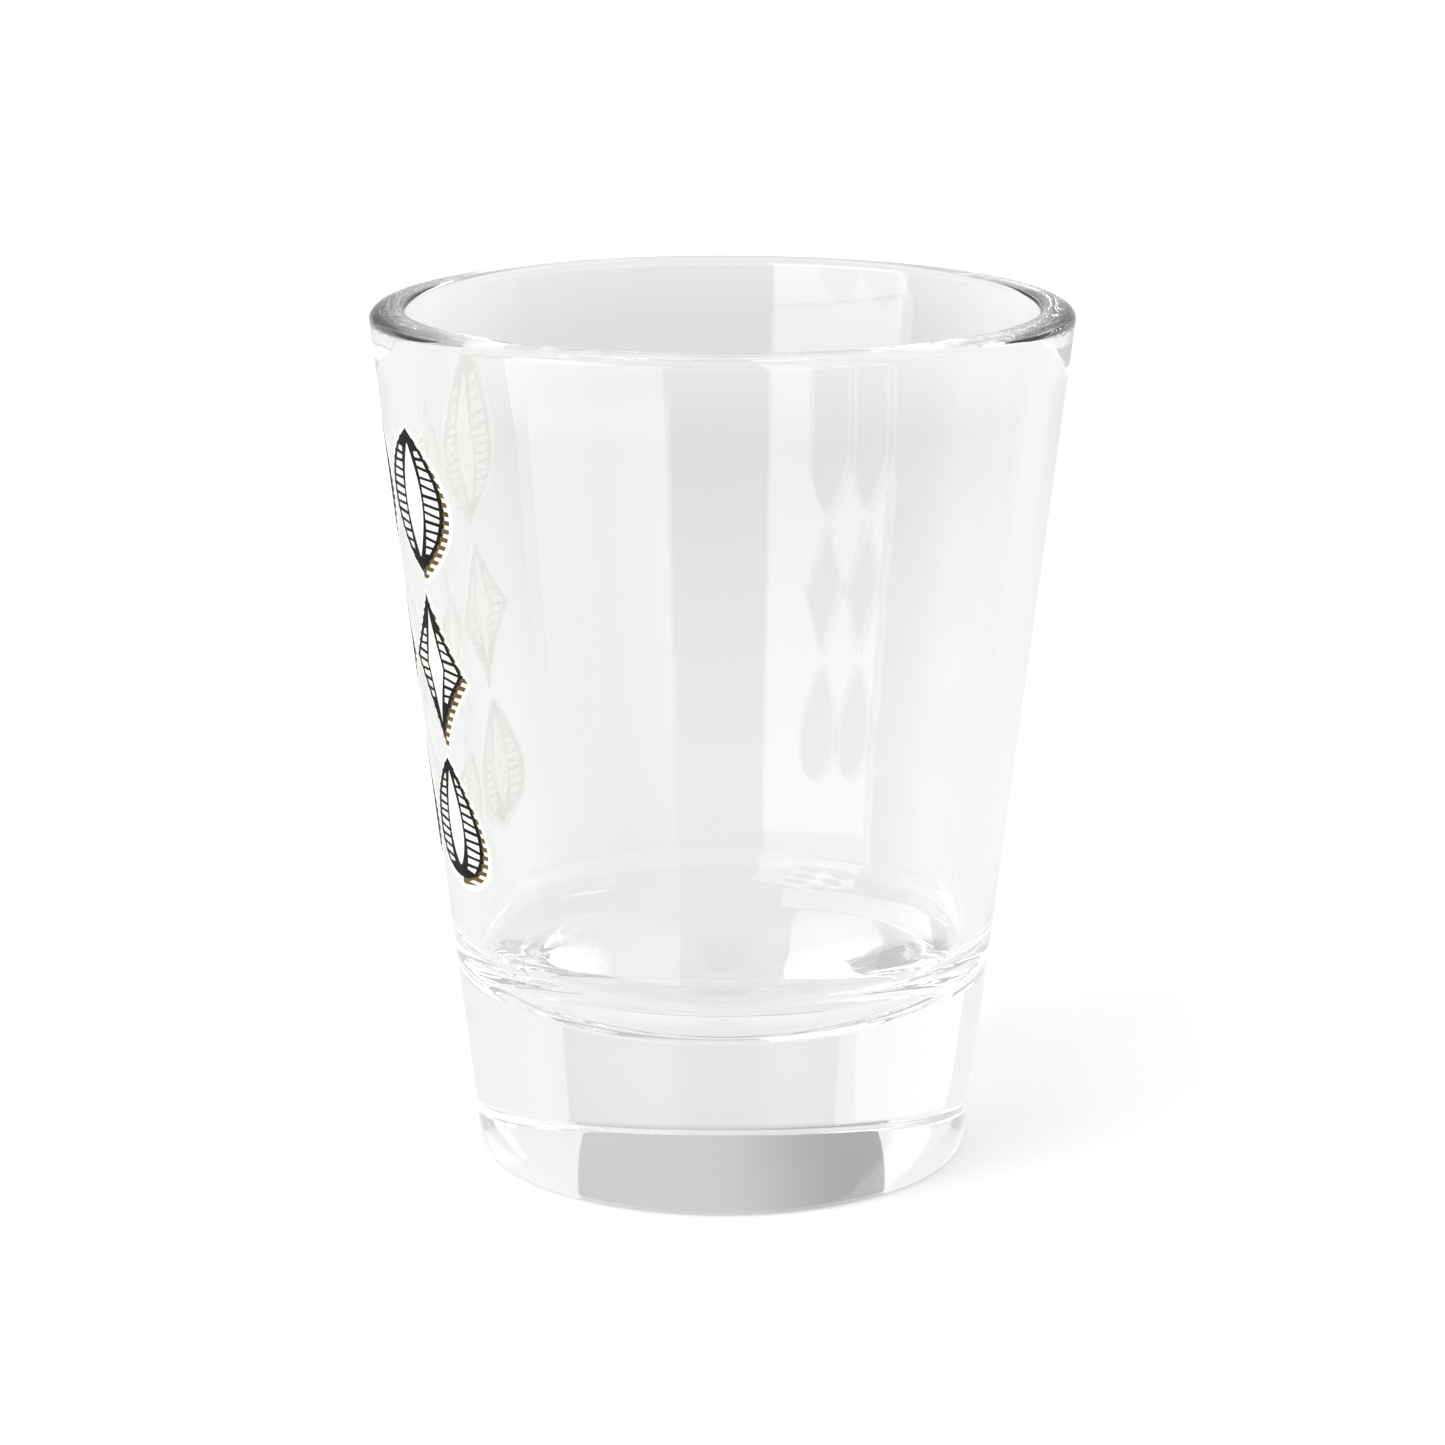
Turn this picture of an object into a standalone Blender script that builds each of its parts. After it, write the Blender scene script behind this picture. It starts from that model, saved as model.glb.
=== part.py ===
"""A tapered shot glass with a thick base and an ornament printed on one side in three rows.

The glass is one pressed and fire-polished piece, turned here from a single profile.
The print is ink laid down in three layers on the outer wall: white first, then an ochre
shadow, then black linework.  Every ink island is a thin plate that is cut out flat and
then wrapped on the cone of the wall.  +Z is up, and the glass stands on Z = 0.
"""

import math

import bmesh
import bpy

MM = 0.001

# The glass
HEIGHT = 60.0 * MM
OUTER_BASE_RADIUS = 17.17 * MM  # the outer wall, carried straight down to the table
OUTER_TOP_RADIUS = 24.21 * MM  # the outer wall, carried straight up to the rim's height
BASE_CORNER_RADIUS = 0.65 * MM
RIM_OUTER_WIDTH = 1.6 * MM
RIM_OUTER_DROP = 0.9 * MM
RIM_INNER_WIDTH = 0.9 * MM
RIM_INNER_DROP = 0.6 * MM
FLOOR_HEIGHT = 10.5 * MM  # thickness of glass under the bowl, before the rise in its middle
FLOOR_RISE = 0.8 * MM  # the plunger leaves the middle of the floor a little raised
FLOOR_RISE_RADIUS = 9.0 * MM
BOWL_DEPTH = 7.0 * MM  # the rounded bottom of the cup, up to where the straight wall begins
BOWL_POWER = 0.8  # 1 gives half an ellipse, and less gives squarer corners
INNER_FLOOR_RADIUS = 16.2 * MM  # the inner wall, carried down to the floor's height
GLASS_SEGMENTS = 72

# The print
PRINT_MIDDLE_ANGLE = math.pi  # the print faces -X
PLACE_PITCH = math.radians(25.6)
MOTIF_HALF_ANGLE = math.radians(10.4)
ROWS = {  # row: lowest and highest point of its black linework
    "top": (43.2 * MM, 53.0 * MM),
    "middle": (31.5 * MM, 41.7 * MM),
    "bottom": (21.6 * MM, 30.1 * MM),
}
PLACES = ("left", "centre", "right")
REFERENCE_RADIUS = 21.6 * MM  # the radius at which a flat motif's width is measured
INK_THICKNESS = 0.03 * MM
INK_GAP = 0.02 * MM
COLUMN_ANGLE = math.radians(3.0)

# The drawing of one motif
LINE_WIDTH = 0.42 * MM
RUNG_WIDTH = 0.34 * MM
RUNGS_PER_SIDE = 5
RUNG_SPAN_SHARE = 0.85  # the rungs stop at this share of the motif's half-height
VEIN_SHARE = 0.30  # plain middle of a motif, as a share of its width
VEIN_HEIGHT_SHARE = 0.78  # and of its height
SMALLEST_CELL = 0.30 * MM
HALO_WIDTH = 0.40 * MM
SHADOW_RIGHT = 0.62 * MM
SHADOW_DOWN = 0.42 * MM
SHADOW_TEETH = 5
SHADOW_TOP_SHARE = 0.80  # the comb stops at this share of the motif's half-height
SHADOW_SPINE_SHARE = 0.45  # depth of the comb's spine, as a share of a tooth's
OUTLINE_STEPS = 12


def leaf(along):
    """Half-width of a pointed leaf, for along from -1 at its foot to 1 at its tip."""
    return max(0.0, 1.0 - along * along)


def star(along):
    """Half-width of a four-pointed star with hollow sides."""
    return max(0.0, 1.0 - abs(along)) ** 1.3


def drop(along):
    """Half-width of a drop, round at its foot and pointed at its tip."""
    share = min(max((along + 1) / 2, 0.0), 1.0)
    return 2.6 * math.sqrt(share) * (1 - share)


SHAPES = {"top": leaf, "middle": star, "bottom": drop}


def outer_radius(height):
    return OUTER_BASE_RADIUS + (OUTER_TOP_RADIUS - OUTER_BASE_RADIUS) * height / HEIGHT


def arc(centre, widths, start, end, steps):
    """Points of an elliptical arc between two angles, both ends included."""
    angles = [start + (end - start) * step / steps for step in range(steps + 1)]
    return [(centre[0] + widths[0] * math.cos(a), centre[1] + widths[1] * math.sin(a)) for a in angles]


def bowl(radius, steps):
    """Points of the cup's rounded bottom, from the end of its straight wall to its middle."""
    points = []
    for step in range(steps):
        angle = math.pi / 2 * step / steps
        across = radius * math.cos(angle) ** BOWL_POWER
        height = FLOOR_HEIGHT + BOWL_DEPTH * (1 - math.sin(angle) ** BOWL_POWER)
        if across < FLOOR_RISE_RADIUS:
            height += FLOOR_RISE * math.cos(math.pi / 2 * across / FLOOR_RISE_RADIUS) ** 2
        points.append((across, height))
    return points + [(0.0, FLOOR_HEIGHT + FLOOR_RISE)]


def glass_profile():
    """(radius, height) points from the middle of the underside, over the rim, to the cup's floor."""
    taper = math.atan((OUTER_TOP_RADIUS - OUTER_BASE_RADIUS) / HEIGHT)
    corner = BASE_CORNER_RADIUS
    corner_centre = (outer_radius(corner) - corner / math.cos(taper), corner)
    rim_start = HEIGHT - RIM_OUTER_DROP
    rim_middle = outer_radius(rim_start) - RIM_OUTER_WIDTH
    inner_top = (rim_middle - RIM_INNER_WIDTH, HEIGHT - RIM_INNER_DROP)

    inner_slope = (inner_top[0] - INNER_FLOOR_RADIUS) / (inner_top[1] - FLOOR_HEIGHT)

    quarter = math.pi / 2
    profile = [(0.0, 0.0)]
    profile += arc(corner_centre, (corner, corner), -quarter, -taper, 3)
    profile += arc((rim_middle, rim_start), (RIM_OUTER_WIDTH, RIM_OUTER_DROP), 0, quarter, 4)
    inner_centre = (rim_middle, inner_top[1])
    inner_widths = (RIM_INNER_WIDTH, RIM_INNER_DROP)
    profile += arc(inner_centre, inner_widths, quarter, 2 * quarter, 3)[1:]
    profile += bowl(INNER_FLOOR_RADIUS + inner_slope * BOWL_DEPTH, 14)
    return profile


def make_material(name, colour, roughness, transmission=0.0):
    material = bpy.data.materials.new(name)
    material.use_nodes = True
    shader = material.node_tree.nodes["Principled BSDF"]
    shader.inputs["Base Color"].default_value = (*colour, 1.0)
    shader.inputs["Roughness"].default_value = roughness
    shader.inputs["Metallic"].default_value = 0.0
    shader.inputs["IOR"].default_value = 1.5
    shader.inputs["Transmission Weight"].default_value = transmission
    return material


def finish(name, shape, material, sharp_angle):
    """Turns a bmesh into a smooth-shaded object of that name."""
    mesh = bpy.data.meshes.new(name)
    shape.to_mesh(mesh)
    shape.free()
    mesh.materials.append(material)
    mesh.shade_smooth()
    mesh.set_sharp_from_angle(angle=sharp_angle)
    made = bpy.data.objects.new(name, mesh)
    bpy.context.scene.collection.objects.link(made)
    return made


def make_glass(material):
    turned = bmesh.new()
    points = [turned.verts.new((radius, 0.0, height)) for radius, height in glass_profile()]
    edges = [turned.edges.new(pair) for pair in zip(points, points[1:])]
    bmesh.ops.spin(
        turned,
        geom=points + edges,
        axis=(0, 0, 1),
        cent=(0, 0, 0),
        angle=math.tau,
        steps=GLASS_SEGMENTS,
        use_merge=True,
    )
    bmesh.ops.remove_doubles(turned, verts=turned.verts[:], dist=0.001 * MM)
    bmesh.ops.recalc_face_normals(turned, faces=turned.faces[:])
    return finish("glass_body", turned, material, math.radians(40))


class Motif:
    """One ornament in its own flat frame: across to the right, up along the wall, in metres."""

    def __init__(self, row):
        low, high = ROWS[row]
        self.shape = SHAPES[row]
        self.half_height = (high - low) / 2
        self.half_width = MOTIF_HALF_ANGLE * REFERENCE_RADIUS
        self.middle_height = (high + low) / 2

    def width_at(self, up, grown=0.0):
        """Half-width at a height, for the outline as drawn or grown by a margin all round."""
        along = up / (self.half_height + grown)
        return (self.half_width + grown) * self.shape(along) if abs(along) <= 1 else None

    def heights(self, low, high, steps):
        """Heights from low to high, closer together at both ends, where outlines turn."""
        swing = [(1 - math.cos(math.pi * step / steps)) / 2 for step in range(steps + 1)]
        return [low + (high - low) * share for share in swing]

    def outline(self, low, high, left, right, steps=OUTLINE_STEPS):
        """A closed loop up the right side and down the left.  Ends that meet share one point."""
        heights = self.heights(low, high, steps)
        loop = [(right(up), up) for up in heights]
        loop += [(left(up), up) for up in reversed(heights)]
        kept = []
        for point in loop:
            if not kept or math.dist(point, kept[-1]) > 0.02 * MM:
                kept.append(point)
        if math.dist(kept[0], kept[-1]) < 0.02 * MM:
            kept.pop()
        return kept

    def cell(self, side, low, high):
        """The open field between two rungs of the hatching, or None where it would close up."""

        def inner(up):
            return side * (VEIN_SHARE * self.width_at(up) + LINE_WIDTH)

        def outer(up):
            return side * (self.width_at(up) - LINE_WIDTH)

        if min(abs(outer(up)) - abs(inner(up)) for up in (low, high)) < SMALLEST_CELL:
            return None
        left, right = (inner, outer) if side > 0 else (outer, inner)
        return self.outline(low, high, left, right, steps=1)

    def black_loops(self):
        """The bold outline, with holes for the plain vein and between the rungs."""
        top = self.half_height
        loops = [self.outline(-top, top, lambda up: -self.width_at(up), self.width_at)]
        vein = VEIN_HEIGHT_SHARE * top

        def vein_edge(up):
            return VEIN_SHARE * self.width_at(up) * math.sqrt(max(0.0, 1 - (up / vein) ** 2))

        loops.append(self.outline(-vein, vein, lambda up: -vein_edge(up), vein_edge, steps=8))
        span = RUNG_SPAN_SHARE * top
        pitch = 2 * span / (RUNGS_PER_SIDE + 1)
        for number in range(RUNGS_PER_SIDE + 1):
            low = -span + pitch * number + RUNG_WIDTH / 2
            high = low + pitch - RUNG_WIDTH
            cells = [self.cell(side, low, high) for side in (-1, 1)]
            loops += [cell for cell in cells if cell]
        return loops

    def ochre_loops(self):
        """A comb that stands out to the lower right from behind the black outline."""
        top = self.half_height
        hidden = LINE_WIDTH / 2
        low = -top - SHADOW_DOWN
        high = SHADOW_TOP_SHARE * top

        def left(up):
            width = self.width_at(up)
            return width - hidden if width else SHADOW_RIGHT / 2 - hidden

        def right(up):
            return max(self.width_at(up + SHADOW_DOWN) or 0.0, 0.0) + SHADOW_RIGHT

        pitch = (high - low) / (2 * SHADOW_TEETH)
        right_side = []
        for number in range(2 * SHADOW_TEETH):
            share = 1.0 if number % 2 == 0 else SHADOW_SPINE_SHARE
            for up in (low + pitch * number, low + pitch * (number + 1)):
                right_side.append((left(up) + (right(up) - left(up)) * share, up))
        left_side = [(left(up), up) for up in self.heights(low, high, 8)]
        return [right_side + left_side[::-1]]

    def white_loops(self):
        """The under-base: the outlines of the black and of the ochre, grown by the halo."""
        top = self.half_height + HALO_WIDTH

        def edges(up):
            drawn = self.width_at(up, HALO_WIDTH)
            shadow = self.width_at(up + SHADOW_DOWN, HALO_WIDTH)
            spans = [] if drawn is None else [(-drawn, drawn)]
            spans += [] if shadow is None else [(SHADOW_RIGHT - shadow, SHADOW_RIGHT + shadow)]
            return min(span[0] for span in spans), max(span[1] for span in spans)

        low = -top - SHADOW_DOWN
        return [self.outline(low, top, lambda up: edges(up)[0], lambda up: edges(up)[1])]


def make_ink(name, loops, layer, angle, height, material):
    """Cuts a plate out flat, along loops that may hold holes, and wraps it on the wall."""
    plate = bmesh.new()
    for loop in loops:
        corners = [plate.verts.new((across, up, 0.0)) for across, up in loop]
        for pair in zip(corners, corners[1:] + corners[:1]):
            plate.edges.new(pair)
    bmesh.ops.triangle_fill(plate, use_beauty=True, edges=plate.edges[:], normal=(0, 0, 1))

    column = COLUMN_ANGLE * REFERENCE_RADIUS
    reach = math.ceil((MOTIF_HALF_ANGLE * REFERENCE_RADIUS + SHADOW_RIGHT + HALO_WIDTH) / column)
    for number in range(-reach, reach + 1):
        bmesh.ops.bisect_plane(
            plate,
            geom=plate.verts[:] + plate.edges[:] + plate.faces[:],
            dist=0.0001 * MM,
            plane_co=(column * number, 0, 0),
            plane_no=(1, 0, 0),
        )
    bmesh.ops.triangulate(plate, faces=plate.faces[:])

    raised = bmesh.ops.extrude_face_region(plate, geom=plate.faces[:])["geom"]
    for corner in raised:
        if isinstance(corner, bmesh.types.BMVert):
            corner.co.z = INK_THICKNESS

    stand_off = INK_GAP + layer * (INK_THICKNESS + INK_GAP)
    for corner in plate.verts:
        across, up, lift = corner.co
        turn = angle + across / REFERENCE_RADIUS
        radius = outer_radius(height + up) + stand_off + lift
        corner.co = (radius * math.cos(turn), radius * math.sin(turn), height + up)
    bmesh.ops.recalc_face_normals(plate, faces=plate.faces[:])
    return finish(name, plate, material, math.radians(30))


def make_print(inks):
    for row in ROWS:
        motif = Motif(row)
        layers = {
            "white_underbase": motif.white_loops(),
            "ochre_shadow": motif.ochre_loops(),
            "black_linework": motif.black_loops(),
        }
        for number, place in enumerate(PLACES):
            angle = PRINT_MIDDLE_ANGLE + (number - 1) * PLACE_PITCH
            for layer, (kind, loops) in enumerate(layers.items()):
                name = f"{kind}_{row}_{place}"
                make_ink(name, loops, layer, angle, motif.middle_height, inks[kind])


def main():
    for leftover in list(bpy.data.objects):
        bpy.data.objects.remove(leftover)
    make_glass(make_material("clear_glass", (0.97, 0.985, 0.98), 0.02, transmission=1.0))
    make_print(
        {
            "white_underbase": make_material("white_ink", (0.86, 0.85, 0.80), 0.45),
            "ochre_shadow": make_material("ochre_ink", (0.16, 0.10, 0.028), 0.45),
            "black_linework": make_material("black_ink", (0.008, 0.008, 0.009), 0.35),
        }
    )


main()
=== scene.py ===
# %% [markdown]
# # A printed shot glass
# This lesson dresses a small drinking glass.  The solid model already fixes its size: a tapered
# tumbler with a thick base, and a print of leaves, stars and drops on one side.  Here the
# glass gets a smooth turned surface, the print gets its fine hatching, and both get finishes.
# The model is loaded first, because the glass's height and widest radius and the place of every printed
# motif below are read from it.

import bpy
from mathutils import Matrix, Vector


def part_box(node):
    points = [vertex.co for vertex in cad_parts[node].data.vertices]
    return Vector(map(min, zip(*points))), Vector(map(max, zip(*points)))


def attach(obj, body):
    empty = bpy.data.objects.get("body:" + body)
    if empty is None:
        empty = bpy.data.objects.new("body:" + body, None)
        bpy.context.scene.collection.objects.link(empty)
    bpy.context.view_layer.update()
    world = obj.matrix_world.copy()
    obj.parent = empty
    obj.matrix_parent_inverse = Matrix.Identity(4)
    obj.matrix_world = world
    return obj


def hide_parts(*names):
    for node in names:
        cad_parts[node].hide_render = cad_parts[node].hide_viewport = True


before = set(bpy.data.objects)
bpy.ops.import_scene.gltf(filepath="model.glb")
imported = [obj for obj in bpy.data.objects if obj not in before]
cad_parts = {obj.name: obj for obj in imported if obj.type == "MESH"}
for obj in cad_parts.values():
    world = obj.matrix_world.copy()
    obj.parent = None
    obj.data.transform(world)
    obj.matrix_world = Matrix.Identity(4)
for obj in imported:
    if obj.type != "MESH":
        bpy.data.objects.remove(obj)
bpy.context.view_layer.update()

# %% Other modules
import math
import random

import bmesh
import bpy
from mathutils import Vector, noise

MM = 0.001

# %% [markdown]
# ## The camera
# A tall object keeps its upright sides when it is seen from far away through a long lens.  The
# camera stands in front of the glass, a little above it, and looks down on its middle, so that
# the mouth shows as a flat oval and the thick base as a clear block.

# %% Camera
CAMERA_LENS = 108.26  # millimetres, on a sensor 36 mm wide
CAMERA_DISTANCE = 304.0 * MM
CAMERA_ELEVATION = math.radians(13.96)
CAMERA_AIM = Vector((0.0, 0.0, 30.33 * MM))


def make_camera():
    data = bpy.data.cameras.new("camera")
    data.lens = CAMERA_LENS
    data.clip_start = 1 * MM
    camera = bpy.data.objects.new("camera", data)
    bpy.context.scene.collection.objects.link(camera)
    back = Vector((0.0, -math.cos(CAMERA_ELEVATION), math.sin(CAMERA_ELEVATION)))
    camera.location = CAMERA_AIM + CAMERA_DISTANCE * back
    camera.rotation_euler = back.to_track_quat("Z", "Y").to_euler()
    bpy.context.scene.camera = camera
    print("camera at", [round(value, 4) for value in camera.location])


make_camera()

# %% [markdown]
# ## Writing shaders as sums
# Node trees are easier to read as arithmetic.  A Wire stands for one output socket, and adding
# or multiplying wires puts Math nodes between them.  A Board makes every other node: it takes
# the node's type, its settings, and what goes into its sockets.


# %% Wires and boards
class Wire:
    """One output socket that sums can be written with."""

    def __init__(self, board, socket):
        self.board = board
        self.socket = socket

    def __add__(self, other):
        return self.board.maths("ADD", self, other)

    __radd__ = __add__

    def __mul__(self, other):
        return self.board.maths("MULTIPLY", self, other)

    __rmul__ = __mul__

    def __sub__(self, other):
        return self.board.maths("SUBTRACT", self, other)

    def __rsub__(self, other):
        return self.board.maths("SUBTRACT", other, self)

    def between(self, low, high, soft):
        """1 where the value lies between two limits and 0 outside, with soft edges."""
        rise = self.board.ramp(self, low - soft / 2, low + soft / 2)
        fall = self.board.ramp(self, high - soft / 2, high + soft / 2)
        return rise * (1 - fall)


class Board:
    """A node tree, and the one way that nodes are put on it."""

    def __init__(self, owner):
        owner.use_nodes = True
        self.tree = owner.node_tree
        self.tree.nodes.clear()

    def add(self, kind, settings=None, sockets=None, out=0):
        made = self.tree.nodes.new(kind)
        for name, value in (settings or {}).items():
            setattr(made, name, value)
        for key, value in (sockets or {}).items():
            if isinstance(value, Wire):
                self.tree.links.new(value.socket, made.inputs[key])
            else:
                made.inputs[key].default_value = value
        return Wire(self, made.outputs[out]) if made.outputs else made

    def maths(self, operation, *values):
        return self.add("ShaderNodeMath", {"operation": operation}, dict(enumerate(values)))

    def ramp(self, value, low, high):
        """A smooth rise from 0 at low to 1 at high."""
        settings = {"interpolation_type": "SMOOTHSTEP"}
        return self.add("ShaderNodeMapRange", settings, {0: value, 1: low, 2: high})

    def mix(self, share, first, second):
        """Two colours, mixed."""
        sockets = {0: share, 6: first, 7: second}
        return self.add("ShaderNodeMix", {"data_type": "RGBA"}, sockets, out=2)

    def grain(self, scale, detail=2.0, roughness=0.5, stretch=(1.0, 1.0, 1.0)):
        """Noise from 0 to 1 with that many cycles to the metre, fixed to the piece."""
        place = self.add("ShaderNodeTexCoord", out="Object")
        placed = self.add("ShaderNodeMapping", sockets={"Vector": place, "Scale": stretch})
        sockets = {"Vector": placed, "Scale": scale, "Detail": detail, "Roughness": roughness}
        return self.add("ShaderNodeTexNoise", sockets=sockets)


# %% [markdown]
# ## The studio
# Clear glass has no colour of its own.  It shows what stands around it, bent and mirrored, so
# its look is made by the studio more than by its shader.  Lamps alone would leave it grey and
# empty.  A studio puts large plain panels all round it instead, and their straight edges become
# the upright bands in the wall.  The panels are painted here on the world by direction: a
# pale sweep and a grey panel behind the glass, white panels on both sides of them, and on the
# camera's side a tall softbox to the left in a room that is left unlit.

# %% Brightness of the panels
PAPER = 1.0  # what the camera sees past the floor
SWEEP = (0.86, 0.90, 0.73)  # the pale sweep, from below the glass to its far end
SWEEP_SIDES = 1.05  # how much brighter it is to either side
GREY_PANEL = (0.41, 0.62)  # its left end and its middle
SIDE_PANELS = (0.92, 0.93)  # left and right
FRONT = (0.55, 0.8)  # the unlit room in front, level with the glass and below it
CEILING = 0.9
SOFTBOX = (0.7, 2.5)  # its lower edge and its middle

# %% Places of the panels, in degrees
SWEEP_EDGES = (-17.5, 26)  # left and right edge, round from the far side
GREY_PANEL_EDGES = (-28.3, 23.7)
GREY_PANEL_LEAN = 0.15  # its upright edges spread apart by this much for each degree up
SOFTBOX_EDGES = (-161, -106)
SOFTBOX_HEIGHTS = (-42, 50)
SOFTBOX_FADE = (-30, -22)  # it brightens between these heights
SOFTBOX_FADE_SLOPE = 0.09  # and that fade climbs towards its far edge
CEILING_HEIGHTS = (48, 56)


def blend(share, first, second):
    """First where share is 0 and second where it is 1.  Each may be a number or a wire."""
    return first + (second - first) * share


def degrees_from(board, direction):
    """Azimuth from the far side, positive to the right, and elevation, both in degrees."""
    across = board.add("ShaderNodeSeparateXYZ", sockets={0: direction})
    along = Wire(board, across.socket.node.outputs[1])
    up = Wire(board, across.socket.node.outputs[2])
    azimuth = board.maths("DEGREES", board.maths("ARCTAN2", across, along))
    elevation = board.maths("DEGREES", board.maths("ARCSINE", up))
    return azimuth, elevation


# %% Panels behind the glass
def light_behind(board, azimuth, elevation):
    away = board.maths("ABSOLUTE", azimuth)
    sweep = blend(board.ramp(elevation, -24, -19), SWEEP[0], SWEEP[1])
    sweep = blend(board.ramp(elevation, -15, -7), sweep, SWEEP[2])
    sweep = sweep * blend(board.ramp(away, 3, 9), 1.0, SWEEP_SIDES)
    sides = blend(board.ramp(azimuth, -5, 5), *SIDE_PANELS)
    low = blend(azimuth.between(*SWEEP_EDGES, 0.6), sides, sweep)

    grey = blend(board.ramp(azimuth, -22, 4), *GREY_PANEL)
    spread = elevation * GREY_PANEL_LEAN
    left, right = GREY_PANEL_EDGES
    inside = board.ramp(azimuth + spread, left - 0.3, left + 0.3)
    inside = inside * (1 - board.ramp(azimuth - spread, right - 0.3, right + 0.3))
    high = blend(inside, sides, grey)
    return blend(board.ramp(elevation, -6, 8), low, high)


# %% Panels on the camera's side
def light_in_front(board, azimuth, elevation):
    room = blend(board.ramp(elevation, -30, -60), *FRONT)
    climb = (azimuth - SOFTBOX_EDGES[0]) * SOFTBOX_FADE_SLOPE
    shine = blend(board.ramp(elevation - climb, *SOFTBOX_FADE), *SOFTBOX)
    softbox = azimuth.between(*SOFTBOX_EDGES, 0.8) * elevation.between(*SOFTBOX_HEIGHTS, 1.0)
    return blend(softbox, room, shine)


# %% World
def make_world():
    world = bpy.data.worlds.new("studio")
    bpy.context.scene.world = world
    board = Board(world)
    direction = board.add("ShaderNodeTexCoord", out="Generated")
    azimuth, elevation = degrees_from(board, direction)
    behind = light_behind(board, azimuth, elevation)
    front = light_in_front(board, azimuth, elevation)
    light = blend(board.ramp(board.maths("ABSOLUTE", azimuth), 92, 100), behind, front)
    light = blend(board.ramp(elevation, *CEILING_HEIGHTS), light, CEILING)
    seen = board.add("ShaderNodeLightPath", out="Is Camera Ray")
    sockets = {"Color": (1, 1, 1, 1), "Strength": blend(seen, light, PAPER)}
    background = board.add("ShaderNodeBackground", sockets=sockets)
    board.add("ShaderNodeOutputWorld", sockets={"Surface": background})
    print("studio painted with", len(board.tree.nodes), "nodes")


make_world()

# %% [markdown]
# Light that enters a glass wall may be mirrored inside it dozens of times before it leaves,
# above all in the rim.  If the path is cut short, that stretch of glass renders black, so the
# bounce limits are raised.

# %% Bounces
LONGEST_PATH = 64
cycles = bpy.context.scene.cycles
cycles.max_bounces = LONGEST_PATH
cycles.glossy_bounces = LONGEST_PATH
cycles.transmission_bounces = LONGEST_PATH
print("light is followed for", LONGEST_PATH, "bounces")

# %% [markdown]
# ## The floor and the key light
# The floor is a plain pale sheet of paper.  It catches a faint shadow to the right of the glass,
# thrown by one large soft light from the left.  The glass doesn't see the sheet: the panels
# above already paint what it should show.

# %% Floor
FLOOR_HALF_SIZE = 3.0
FLOOR_GLOW = 0.30


def make_floor():
    sheet = bmesh.new()
    bmesh.ops.create_grid(sheet, x_segments=1, y_segments=1, size=FLOOR_HALF_SIZE)
    mesh = bpy.data.meshes.new("floor")
    sheet.to_mesh(mesh)
    sheet.free()
    floor = bpy.data.objects.new("floor", mesh)
    bpy.context.scene.collection.objects.link(floor)
    floor.visible_glossy = False
    floor.visible_transmission = False
    return floor


def paper_finish():
    material = bpy.data.materials.new("floor_paper")
    board = Board(material)
    colour = board.mix(board.grain(900.0) * 0.2, (0.86, 0.86, 0.86, 1), (0.9, 0.9, 0.9, 1))
    sockets = {
        "Base Color": colour,
        "Roughness": 0.9,
        "Specular IOR Level": 0.0,
        "Emission Color": (1, 1, 1, 1),
        "Emission Strength": FLOOR_GLOW,
    }
    shader = board.add("ShaderNodeBsdfPrincipled", sockets=sockets)
    board.add("ShaderNodeOutputMaterial", sockets={"Surface": shader})
    return material


make_floor().data.materials.append(paper_finish())
print("floor laid,", 2 * FLOOR_HALF_SIZE, "m square")

# %% Key light
KEY_STRENGTH = 0.6
KEY_SOFTNESS = math.radians(35)
KEY_FROM = Vector((-1.0, -0.62, 0.70))


def make_key_light():
    data = bpy.data.lights.new("key", "SUN")
    data.energy = KEY_STRENGTH
    data.angle = KEY_SOFTNESS
    key = bpy.data.objects.new("key", data)
    bpy.context.scene.collection.objects.link(key)
    key.rotation_euler = KEY_FROM.to_track_quat("Z", "Y").to_euler()


make_key_light()
bpy.context.scene.view_settings.view_transform = "Standard"
print("key light from", list(KEY_FROM))

# %% [markdown]
# ## The glass
# The glass is pressed in a mould and its rim is melted round in a flame.  It is one turned
# shape, so one profile spun about the axis makes all of it.  Many fine steps matter here:
# flat facets would show as stripes, because glass bends light by its true surface.

# %% Profile of the glass
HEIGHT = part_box("glass_body")[1][2]
RIM_OUTER_WIDTH = 1.6 * MM
RIM_OUTER_DROP = 0.9 * MM
RIM_INNER_WIDTH = 0.9 * MM
RIM_INNER_DROP = 0.6 * MM
OUTER_BASE_RADIUS = 17.17 * MM
BASE_CORNER_RADIUS = 0.65 * MM
FLOOR_HEIGHT = 10.5 * MM
FLOOR_RISE = 0.8 * MM
FLOOR_RISE_RADIUS = 9.0 * MM
BOWL_DEPTH = 7.0 * MM
BOWL_POWER = 0.8
INNER_FLOOR_RADIUS = 16.2 * MM
WIDEST_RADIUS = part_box("glass_body")[1][0]
WALL_SLOPE = (WIDEST_RADIUS - OUTER_BASE_RADIUS) / (HEIGHT - RIM_OUTER_DROP)
FOOT_STEPS = 8
RIM_OUTER_STEPS = 14
RIM_INNER_STEPS = 8
WALL_STEPS = 12
BOWL_STEPS = 90


def outer_radius(height):
    return OUTER_BASE_RADIUS + WALL_SLOPE * height


def arc(centre, widths, start, end, steps):
    """Points of an elliptical arc between two angles, both ends included."""
    angles = [start + (end - start) * step / steps for step in range(steps + 1)]
    return [(centre[0] + widths[0] * math.cos(a), centre[1] + widths[1] * math.sin(a)) for a in angles]


def straight(start, end, steps):
    """Points between two ends, without the ends."""
    shares = [step / steps for step in range(1, steps)]
    return [tuple(a + (b - a) * share for a, b in zip(start, end)) for share in shares]


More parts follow.
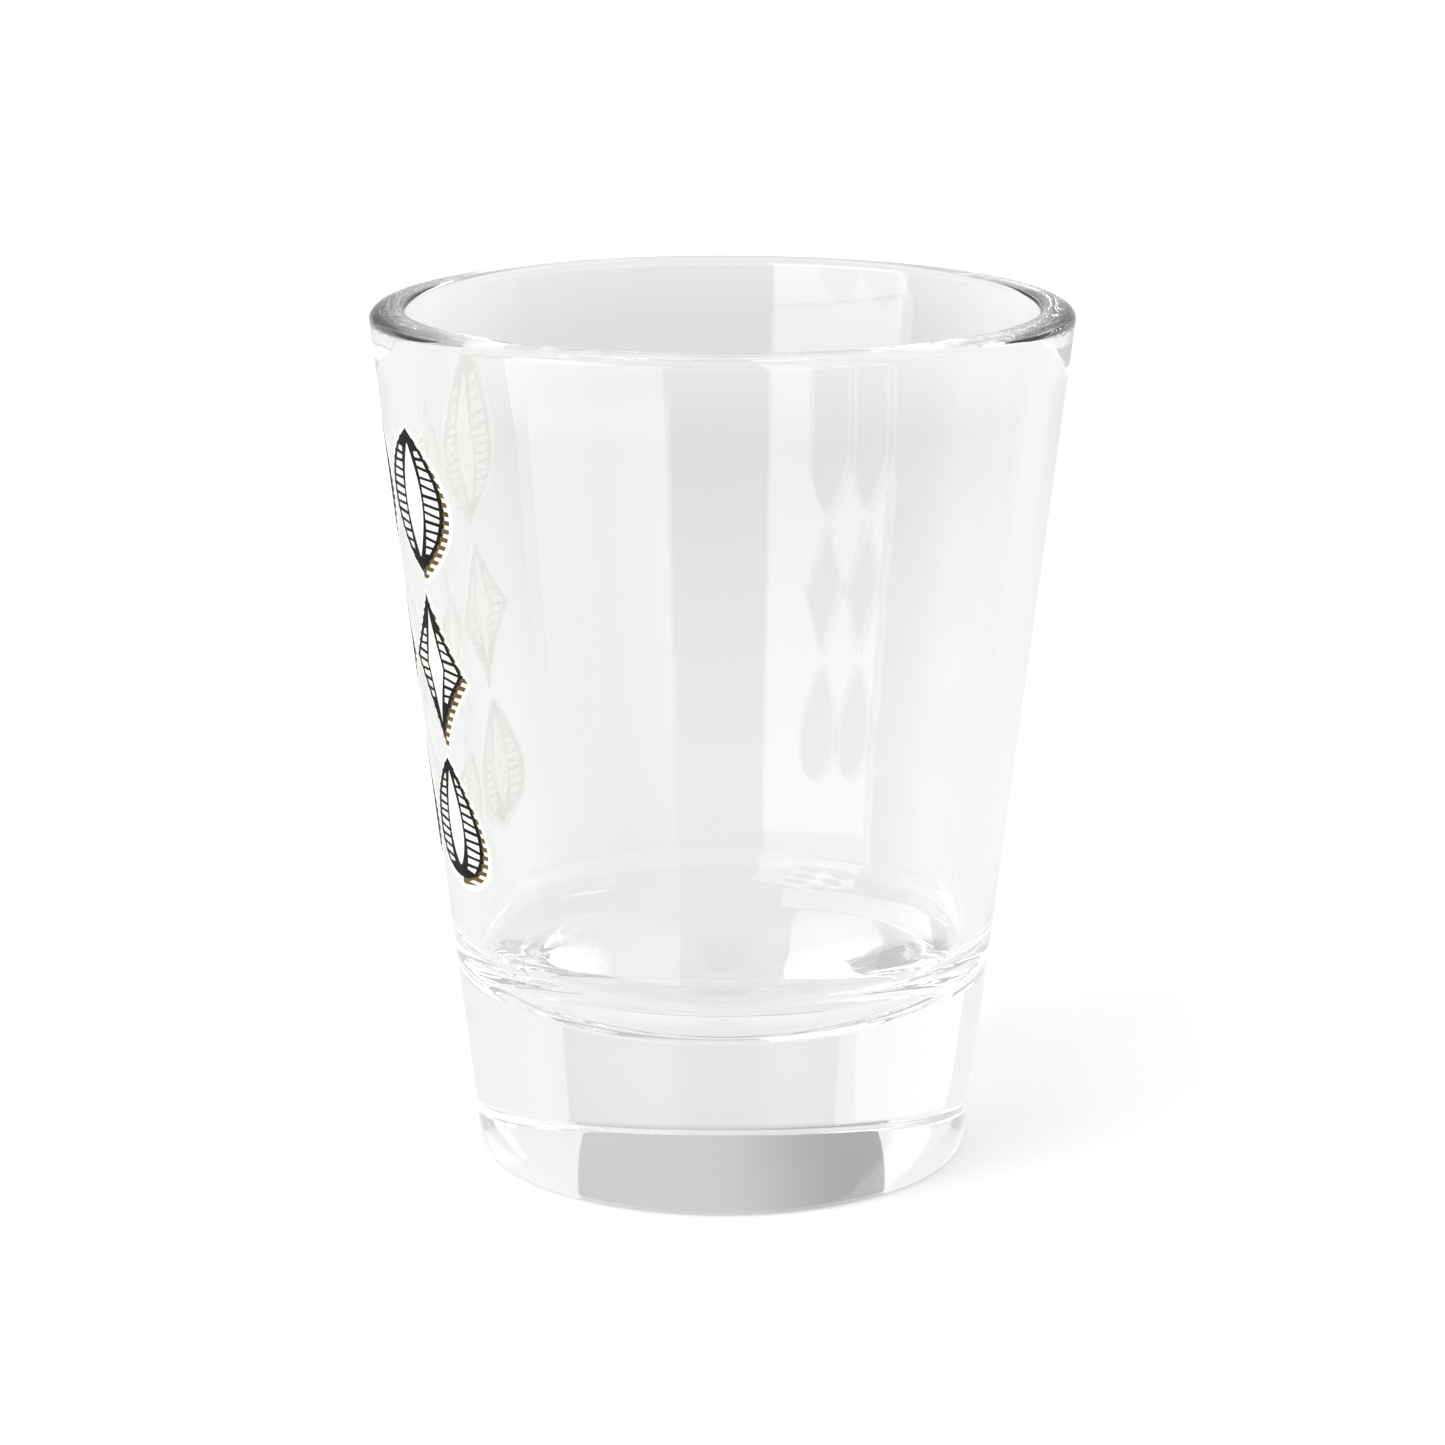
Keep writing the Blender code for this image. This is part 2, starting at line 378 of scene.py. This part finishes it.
def bowl(radius, steps):
    """Points of the cup's rounded bottom, from the end of its straight wall to its middle."""
    points = []
    for step in range(steps):
        angle = math.pi / 2 * step / steps
        across = radius * math.cos(angle) ** BOWL_POWER
        height = FLOOR_HEIGHT + BOWL_DEPTH * (1 - math.sin(angle) ** BOWL_POWER)
        if across < FLOOR_RISE_RADIUS:
            height += FLOOR_RISE * math.cos(math.pi / 2 * across / FLOOR_RISE_RADIUS) ** 2
        points.append((across, height))
    return points + [(0.0, FLOOR_HEIGHT + FLOOR_RISE)]


def glass_profile():
    """(radius, height) points from the middle of the underside, over the rim, to the cup's floor."""
    quarter = math.pi / 2
    taper = math.atan(WALL_SLOPE)
    corner = BASE_CORNER_RADIUS
    corner_centre = (outer_radius(corner) - corner / math.cos(taper), corner)
    rim_start = HEIGHT - RIM_OUTER_DROP
    rim_middle = outer_radius(rim_start) - RIM_OUTER_WIDTH
    inner_top = (rim_middle - RIM_INNER_WIDTH, HEIGHT - RIM_INNER_DROP)
    inner_slope = (inner_top[0] - INNER_FLOOR_RADIUS) / (inner_top[1] - FLOOR_HEIGHT)

    foot = arc(corner_centre, (corner, corner), -quarter, -taper, FOOT_STEPS)
    outer_widths = (RIM_OUTER_WIDTH, RIM_OUTER_DROP)
    inner_widths = (RIM_INNER_WIDTH, RIM_INNER_DROP)
    rim = arc((rim_middle, rim_start), outer_widths, 0, quarter, RIM_OUTER_STEPS)
    rim += arc((rim_middle, inner_top[1]), inner_widths, quarter, 2 * quarter, RIM_INNER_STEPS)[1:]
    cup = bowl(INNER_FLOOR_RADIUS + inner_slope * BOWL_DEPTH, BOWL_STEPS)
    return (
        [(0.0, 0.0)]
        + foot
        + straight(foot[-1], rim[0], WALL_STEPS)
        + rim
        + straight(rim[-1], cup[0], WALL_STEPS)
        + cup
    )


print("wall leans out by", round(math.degrees(math.atan(WALL_SLOPE)), 2), "degrees")


# %% [markdown]
# Soda-lime glass bends light by a factor of about 1.5 and is all but colourless, so a plain
# transmitting surface is right for it.  Two small faults keep it from looking drawn with a
# ruler: a slow ripple, stretched up the wall as the mould leaves it, and a few patches that are
# very slightly dull from handling.

# %% Finish of the glass
def glass_finish():
    material = bpy.data.materials.new("clear_glass")
    board = Board(material)
    ripple = board.grain(160.0, detail=1.0, stretch=(1.0, 1.0, 0.35))
    bump = board.add("ShaderNodeBump", sockets={"Strength": 0.03, "Distance": 0.0003, "Height": ripple})
    roughness = board.ramp(board.grain(420.0, detail=4.0), 0.62, 0.95) * 0.02
    sockets = {
        "Base Color": (0.985, 0.995, 0.992, 1),
        "Roughness": roughness,
        "IOR": 1.5,
        "Transmission Weight": 1.0,
        "Normal": bump,
    }
    shader = board.add("ShaderNodeBsdfPrincipled", sockets=sockets)
    board.add("ShaderNodeOutputMaterial", sockets={"Surface": shader})
    return material


# %% Turn the glass
GLASS_STEPS = 288
GLASS_CREASE = math.radians(60)  # edges that bend more than this stay sharp


def finish_piece(name, shape, material, sharp_angle, node):
    """Makes an object of a bmesh, which stands for a solid of the model."""
    mesh = bpy.data.meshes.new(name)
    shape.to_mesh(mesh)
    shape.free()
    mesh.materials.append(material)
    mesh.shade_smooth()
    mesh.set_sharp_from_angle(angle=sharp_angle)
    piece = bpy.data.objects.new(name, mesh)
    bpy.context.scene.collection.objects.link(piece)
    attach(piece, "root")
    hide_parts(node)


def turn_glass():
    turned = bmesh.new()
    points = [turned.verts.new((radius, 0.0, height)) for radius, height in glass_profile()]
    edges = [turned.edges.new(pair) for pair in zip(points, points[1:])]
    bmesh.ops.spin(
        turned,
        geom=points + edges,
        axis=(0, 0, 1),
        cent=(0, 0, 0),
        angle=math.tau,
        steps=GLASS_STEPS,
        use_merge=True,
    )
    bmesh.ops.remove_doubles(turned, verts=turned.verts[:], dist=0.0001 * MM)
    bmesh.ops.recalc_face_normals(turned, faces=turned.faces[:])
    print("glass:", len(points), "profile points,", len(turned.faces), "faces")
    material = glass_finish()
    finish_piece("drinking_glass", turned, material, GLASS_CREASE, "glass_body")


turn_glass()

# %% [markdown]
# ## The printed ornament
# The print is laid down in three inks through fine screens: warm white first, so that the rest
# stays bright on clear glass, then an ochre drop shadow, then the black lines.  Every motif is
# drawn flat, cut into narrow upright strips and wrapped on the wall, just as a screen rolls
# its ink on a tapered glass.  The solid model says where each motif sits.

# %% Where the motifs sit
ROWS = ("top", "middle", "bottom")
PLACES = ("left", "centre", "right")
REFERENCE_RADIUS = 21.6 * MM  # the radius at which a flat motif's width is measured


def seat(node):
    """(middle height, half-height, middle angle, half-angle) of a printed solid on the wall."""
    corners = [corner.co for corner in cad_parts[node].data.vertices]
    heights = [corner.z for corner in corners]
    angles = [math.atan2(corner.y, corner.x) % math.tau for corner in corners]
    low, high, first, last = min(heights), max(heights), min(angles), max(angles)
    return (low + high) / 2, (high - low) / 2, (first + last) / 2, (last - first) / 2


for row in ROWS:
    print(row, [tuple(round(v, 4) for v in seat(f"black_linework_{row}_{place}")) for place in PLACES])

# %% Three shapes


def leaf(along):
    """Half-width of a pointed leaf, for along from -1 at its foot to 1 at its tip."""
    return max(0.0, 1.0 - along * along)


def star(along):
    """Half-width of a four-pointed star with hollow sides."""
    return max(0.0, 1.0 - abs(along)) ** 1.3


def drop(along):
    """Half-width of a drop, round at its foot and pointed at its tip."""
    share = min(max((along + 1) / 2, 0.0), 1.0)
    return 2.6 * math.sqrt(share) * (1 - share)


SHAPES = {"top": leaf, "middle": star, "bottom": drop}
print("rows:", {row: shape.__name__ for row, shape in SHAPES.items()})

# %% [markdown]
# A wood engraver shades a shape with short rungs between a bold outer line and a finer inner
# one.  Cut by hand, no two rungs are quite alike: each one here gets its own thickness and
# tilt from a seeded draw, and its end pokes a little past the outline.

# %% Drawing a motif
LINE_WIDTH = 0.40 * MM
INNER_LINE_WIDTH = 0.22 * MM
LINE_WAVER = 0.05 * MM
RUNG_PITCH = 0.62 * MM
RUNG_WIDTH = 0.19 * MM
RUNG_TILT = 0.07 * MM
RUNG_TICK = 0.12 * MM
RUNG_SPAN_SHARE = 0.86
VEIN_SHARE = 0.34
VEIN_HEIGHT_SHARE = 0.80
SMALLEST_CELL = 0.22 * MM
HALO_WIDTH = 0.40 * MM
SHADOW_RIGHT = 0.62 * MM
SHADOW_DOWN = 0.42 * MM
SHADOW_PITCH = 0.62 * MM
SHADOW_SPINE_SHARE = 0.42
SHADOW_TOP_SHARE = 0.80
STEP = 0.012 * MM  # how far apart two points stand where a line turns square
WAVER_CYCLES = 900  # to the metre
OUTLINE_STEPS = 44
VEIN_STEPS = 30
SHADOW_STEPS = 40
HALO_STEPS = 60


class Motif:
    """One ornament drawn flat: across to the right and up the wall, in metres."""

    def __init__(self, row, half_width, half_height, seed):
        self.shape = SHAPES[row]
        self.half_width = half_width
        self.half_height = half_height
        self.seed = seed
        draw = random.Random(seed)
        span = RUNG_SPAN_SHARE * half_height
        count = round(2 * span / RUNG_PITCH)
        self.rungs = []
        for number in range(count + 1):
            middle = -span + 2 * span * number / count + draw.uniform(-0.05, 0.05) * RUNG_PITCH
            thick = RUNG_WIDTH * draw.uniform(0.85, 1.25)
            self.rungs.append((middle, thick, draw.uniform(-RUNG_TILT, RUNG_TILT)))

    def waver(self, up, line):
        """The hand's small error along a line."""
        return LINE_WAVER * noise.noise(Vector((up * WAVER_CYCLES, line * 7.3, self.seed * 3.1)))

    def width_at(self, up, grown=0.0):
        """Half-width at a height, for the outline as drawn or grown by a margin all round."""
        along = up / (self.half_height + grown)
        return (self.half_width + grown) * self.shape(along) if abs(along) <= 1 else None

    def heights(self, low, high, steps):
        """Heights from low to high, closer together at both ends, where outlines turn."""
        swing = [(1 - math.cos(math.pi * step / steps)) / 2 for step in range(steps + 1)]
        return [low + (high - low) * share for share in swing]

    def outline(self, heights, left, right):
        """A closed loop up the right side and down the left.  Ends that meet share one point."""
        loop = [(right(up), up) for up in heights]
        loop += [(left(up), up) for up in reversed(heights)]
        kept = []
        for point in loop:
            if not kept or math.dist(point, kept[-1]) > STEP / 2:
                kept.append(point)
        while math.dist(kept[0], kept[-1]) < STEP / 2:
            kept.pop()
        return kept

    def edge(self, up):
        """The outer edge of the bold line, with the ends of the rungs poking out."""
        width = self.width_at(up)
        taper = min(1.0, width / LINE_WIDTH)
        tick = any(abs(up - middle) <= thick / 2 for middle, thick, _ in self.rungs)
        return width + taper * (self.waver(up, 1) + (RUNG_TICK if tick else 0.0))

    def cell(self, side, below, above):
        """The open field between two rungs, or None where it would close up."""

        def inner(up):
            return VEIN_SHARE * self.width_at(up) + INNER_LINE_WIDTH + self.waver(up, 2 + side)

        def outer(up):
            return self.width_at(up) - LINE_WIDTH + self.waver(up, 5 + side)

        low = below[0] + below[1] / 2
        high = above[0] - above[1] / 2
        if min(outer(up) - inner(up) for up in (low, high)) < SMALLEST_CELL:
            return None
        points = [(inner(low), low - below[2]), (outer(low), low + below[2])]
        points += [(outer(high), high + above[2]), (inner(high), high - above[2])]
        return [(side * across, up) for across, up in points]

    def black_loops(self):
        """The bold outline, with holes for the plain vein and between the rungs."""
        top = self.half_height
        heights = self.heights(-top, top, OUTLINE_STEPS)
        for middle, thick, _ in self.rungs:
            for end in (middle - thick / 2, middle + thick / 2):
                heights += [end - STEP, end + STEP]
        heights = sorted(up for up in heights if abs(up) <= top)
        loops = [self.outline(heights, lambda up: -self.edge(up), self.edge)]
        vein = VEIN_HEIGHT_SHARE * top

        def vein_edge(up):
            return VEIN_SHARE * self.width_at(up) * math.sqrt(max(0.0, 1 - (up / vein) ** 2))

        vein_heights = self.heights(-vein, vein, VEIN_STEPS)
        loops.append(self.outline(vein_heights, lambda up: -vein_edge(up), vein_edge))
        for below, above in zip(self.rungs, self.rungs[1:]):
            cells = [self.cell(side, below, above) for side in (-1, 1)]
            loops += [cell for cell in cells if cell]
        return loops

    def ochre_loops(self):
        """A comb that stands out to the lower right from behind the black outline."""
        top = self.half_height
        hidden = LINE_WIDTH / 2
        low = -top - SHADOW_DOWN
        high = SHADOW_TOP_SHARE * top

        def left(up):
            width = self.width_at(up)
            return width - hidden if width else SHADOW_RIGHT / 2 - hidden

        def right(up):
            return max(self.width_at(up + SHADOW_DOWN) or 0.0, 0.0) + SHADOW_RIGHT

        teeth = round((high - low) / SHADOW_PITCH)
        pitch = (high - low) / teeth
        loop = []
        for number in range(teeth):
            foot = low + pitch * number
            turns = (
                (foot, 1.0),
                (foot + 0.5 * pitch, 1.0),
                (foot + 0.5 * pitch + STEP, SHADOW_SPINE_SHARE),
                (foot + pitch - STEP, SHADOW_SPINE_SHARE),
            )
            loop += [(left(up) + (right(up) - left(up)) * share, up) for up, share in turns]
        loop += [(left(up), up) for up in reversed(self.heights(low, high, SHADOW_STEPS))]
        return [loop]

    def white_loops(self):
        """The under-print: the outlines of the black and of the ochre, grown by the halo."""
        top = self.half_height + HALO_WIDTH

        def edges(up):
            drawn = self.width_at(up, HALO_WIDTH)
            shadow = self.width_at(up + SHADOW_DOWN, HALO_WIDTH)
            spans = [] if drawn is None else [(-drawn, drawn)]
            spans += [] if shadow is None else [(SHADOW_RIGHT - shadow, SHADOW_RIGHT + shadow)]
            return min(span[0] for span in spans), max(span[1] for span in spans)

        heights = self.heights(-top - SHADOW_DOWN, top, HALO_STEPS)
        return [self.outline(heights, lambda up: edges(up)[0], lambda up: edges(up)[1])]


# %% [markdown]
# White ink on glass is not solid: it lets part of the light through, so its shader mixes a
# plain surface with one that passes light on.  Each film lies a hair off the glass and is
# unevenly coloured, as a screen leaves it.  Seen through the glass, the back of the print still
# renders too grey, so the side that faces the cup gives off a faint light of its own.  That is
# a correction to the look, and real ink doesn't glow.

# %% Inks
WHITE_INK_PASSES = 0.3  # share of the light that goes through the white
WHITE_INK_GLOW = (0.50, 0.50, 0.49, 1)  # on the side that faces the cup
SATIN_SHINE = 0.5
DULL_SHINE = 0.05  # the black and the ochre are far less glossy than the white


def speckled(board, first, second):
    """A colour that drifts between two tones, with a fine speckle on top."""
    drift = board.ramp(board.grain(700.0), 0.35, 0.65)
    speck = board.ramp(board.grain(9000.0, detail=3.0), 0.55, 0.75)
    return board.mix(drift * 0.7 + speck * 0.3, first, second)


def inner_side(board):
    """1 where a face looks towards the axis of the glass, and 0 elsewhere."""
    place = board.add("ShaderNodeTexCoord", out="Object")
    normal = Wire(board, place.socket.node.outputs["Normal"])
    flat = board.add("ShaderNodeVectorMath", {"operation": "MULTIPLY"}, {0: place, 1: (1, 1, 0)})
    facing = board.add("ShaderNodeVectorMath", {"operation": "DOT_PRODUCT"}, {0: flat, 1: normal}, out=1)
    return 1 - board.ramp(facing, -4 * MM, 4 * MM)


def ink_surface(board, colour, roughness, shine=SATIN_SHINE, glow=None):
    grit = board.grain(14000.0, detail=3.0)
    bump = board.add("ShaderNodeBump", sockets={"Strength": 0.15, "Distance": 0.00001, "Height": grit})
    roughness = roughness + board.grain(2600.0) * 0.12
    sockets = {"Base Color": colour, "Roughness": roughness, "Specular IOR Level": shine, "Normal": bump}
    if glow:
        sockets["Emission Color"] = glow
        sockets["Emission Strength"] = 1.0
    return board.add("ShaderNodeBsdfPrincipled", sockets=sockets)


def white_finish():
    material = bpy.data.materials.new("white_ink")
    board = Board(material)
    colour = speckled(board, (0.95, 0.945, 0.92, 1), (0.91, 0.90, 0.865, 1))
    glow = board.mix(inner_side(board), (0, 0, 0, 1), WHITE_INK_GLOW)
    surface = ink_surface(board, colour, 0.40, glow=glow)
    passing = board.add("ShaderNodeBsdfTranslucent", sockets={"Color": (0.96, 0.96, 0.94, 1)})
    body = board.add("ShaderNodeMixShader", sockets={0: WHITE_INK_PASSES, 1: surface, 2: passing})
    board.add("ShaderNodeOutputMaterial", sockets={"Surface": body})
    return material


def solid_finish(name, first, second, roughness):
    material = bpy.data.materials.new(name)
    board = Board(material)
    surface = ink_surface(board, speckled(board, first, second), roughness, shine=DULL_SHINE)
    board.add("ShaderNodeOutputMaterial", sockets={"Surface": surface})
    return material


INKS = {  # kind of solid: its slot, its finish, and its lowest and highest level over the glass
    "white_underbase": ("white_ink", white_finish(), 0.004 * MM, 0.020 * MM),
    "ochre_shadow": (
        "ochre_ink",
        solid_finish("ochre_ink", (0.15, 0.098, 0.030, 1), (0.095, 0.062, 0.018, 1), 0.42),
        0.022 * MM,
        0.036 * MM,
    ),
    "black_linework": (
        "black_ink",
        solid_finish("black_ink", (0.003, 0.003, 0.004, 1), (0.010, 0.010, 0.009, 1), 0.45),
        0.038 * MM,
        0.054 * MM,
    ),
}

print("inks mixed:", [slot for slot, *_ in INKS.values()])

# %% [markdown]
# A flat film can't follow a round wall with a few large triangles: its middle would sink into
# the glass.  So each film is filled flat, cut along upright lines one degree apart, given its
# thickness, and only then bent, point by point, on to the tapered wall.

# %% Cut the films and wrap them
STRIP_ANGLE = math.radians(1.0)  # the width of the flat strips a film is cut into
FILM_CREASE = math.radians(30)


def wrap_film(loops, levels, middle_height, middle_angle):
    """A thin plate cut along loops that may hold holes, wrapped on the wall."""
    film = bmesh.new()
    for loop in loops:
        corners = [film.verts.new((across, up, 0.0)) for across, up in loop]
        for pair in zip(corners, corners[1:] + corners[:1]):
            film.edges.new(pair)
    bmesh.ops.triangle_fill(film, use_beauty=True, edges=film.edges[:], normal=(0, 0, 1))
    strip = STRIP_ANGLE * REFERENCE_RADIUS
    reach = math.ceil(max(abs(corner.co.x) for corner in film.verts) / strip)
    for number in range(-reach, reach + 1):
        geometry = film.verts[:] + film.edges[:] + film.faces[:]
        cut = {"plane_co": (strip * number, 0, 0), "plane_no": (1, 0, 0)}
        bmesh.ops.bisect_plane(film, geom=geometry, dist=0.0001 * MM, **cut)
    bmesh.ops.triangulate(film, faces=film.faces[:])
    for corner in film.verts:
        corner.co.z = levels[0]
    raised = bmesh.ops.extrude_face_region(film, geom=film.faces[:])["geom"]
    for corner in raised:
        if isinstance(corner, bmesh.types.BMVert):
            corner.co.z = levels[1]
    for corner in film.verts:
        across, up, level = corner.co
        turn = middle_angle + across / REFERENCE_RADIUS
        radius = outer_radius(middle_height + up) + level
        corner.co = (radius * math.cos(turn), radius * math.sin(turn), middle_height + up)
    bmesh.ops.recalc_face_normals(film, faces=film.faces[:])
    return film


def print_ornament():
    faces = 0
    for row in ROWS:
        for number, place in enumerate(PLACES):
            height, half_height, angle, half_angle = seat(f"black_linework_{row}_{place}")
            motif = Motif(row, half_angle * REFERENCE_RADIUS, half_height, number)
            drawn = {
                "white_underbase": motif.white_loops(),
                "ochre_shadow": motif.ochre_loops(),
                "black_linework": motif.black_loops(),
            }
            for kind, loops in drawn.items():
                slot, finish, low, high = INKS[kind]
                film = wrap_film(loops, (low, high), height, angle)
                faces += len(film.faces)
                name = f"{SHAPES[row].__name__}_{slot}_{place}"
                finish_piece(name, film, finish, FILM_CREASE, f"{kind}_{row}_{place}")
    print("ink films:", faces, "faces")


print_ornament()
